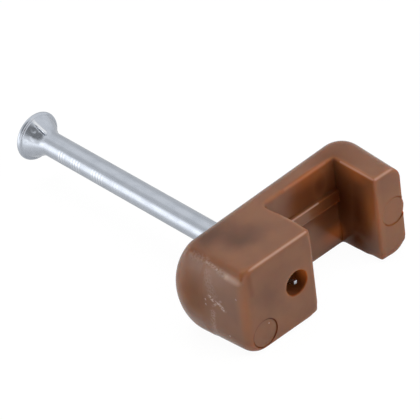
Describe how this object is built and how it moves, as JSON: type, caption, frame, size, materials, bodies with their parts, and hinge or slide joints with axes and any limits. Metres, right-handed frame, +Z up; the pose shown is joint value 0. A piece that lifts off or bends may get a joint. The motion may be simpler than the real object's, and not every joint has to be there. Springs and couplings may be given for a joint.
{
  "type": "nail-in cable clip",
  "caption": "Square hook clip of moulded brown plastic that holds a cable against a wall, with a zinc-plated steel nail part driven through the thick leg.",
  "frame": {"origin": "on the nail's axis, in the plane of the foot that stands on the wall", "axes": "+Y along the nail into the wall, +Z up along the held cable, and the bridge runs from the nail leg towards -X"},
  "size_m": [0.0191, 0.0298, 0.0082],
  "materials": {
    "brown_plastic": "satin as moulded, slightly translucent",
    "zinc_steel": "bright zinc plating"
  },
  "bodies": {
    "clip": {"clip_body": "brown_plastic"},
    "nail": {"nail": "zinc_steel"}
  },
  "joints": [
    {"name": "nail_drive", "type": "slide", "parent": "clip", "child": "nail", "axis": [0, 1, 0], "range_m": [0, 0.0201]}
  ]
}
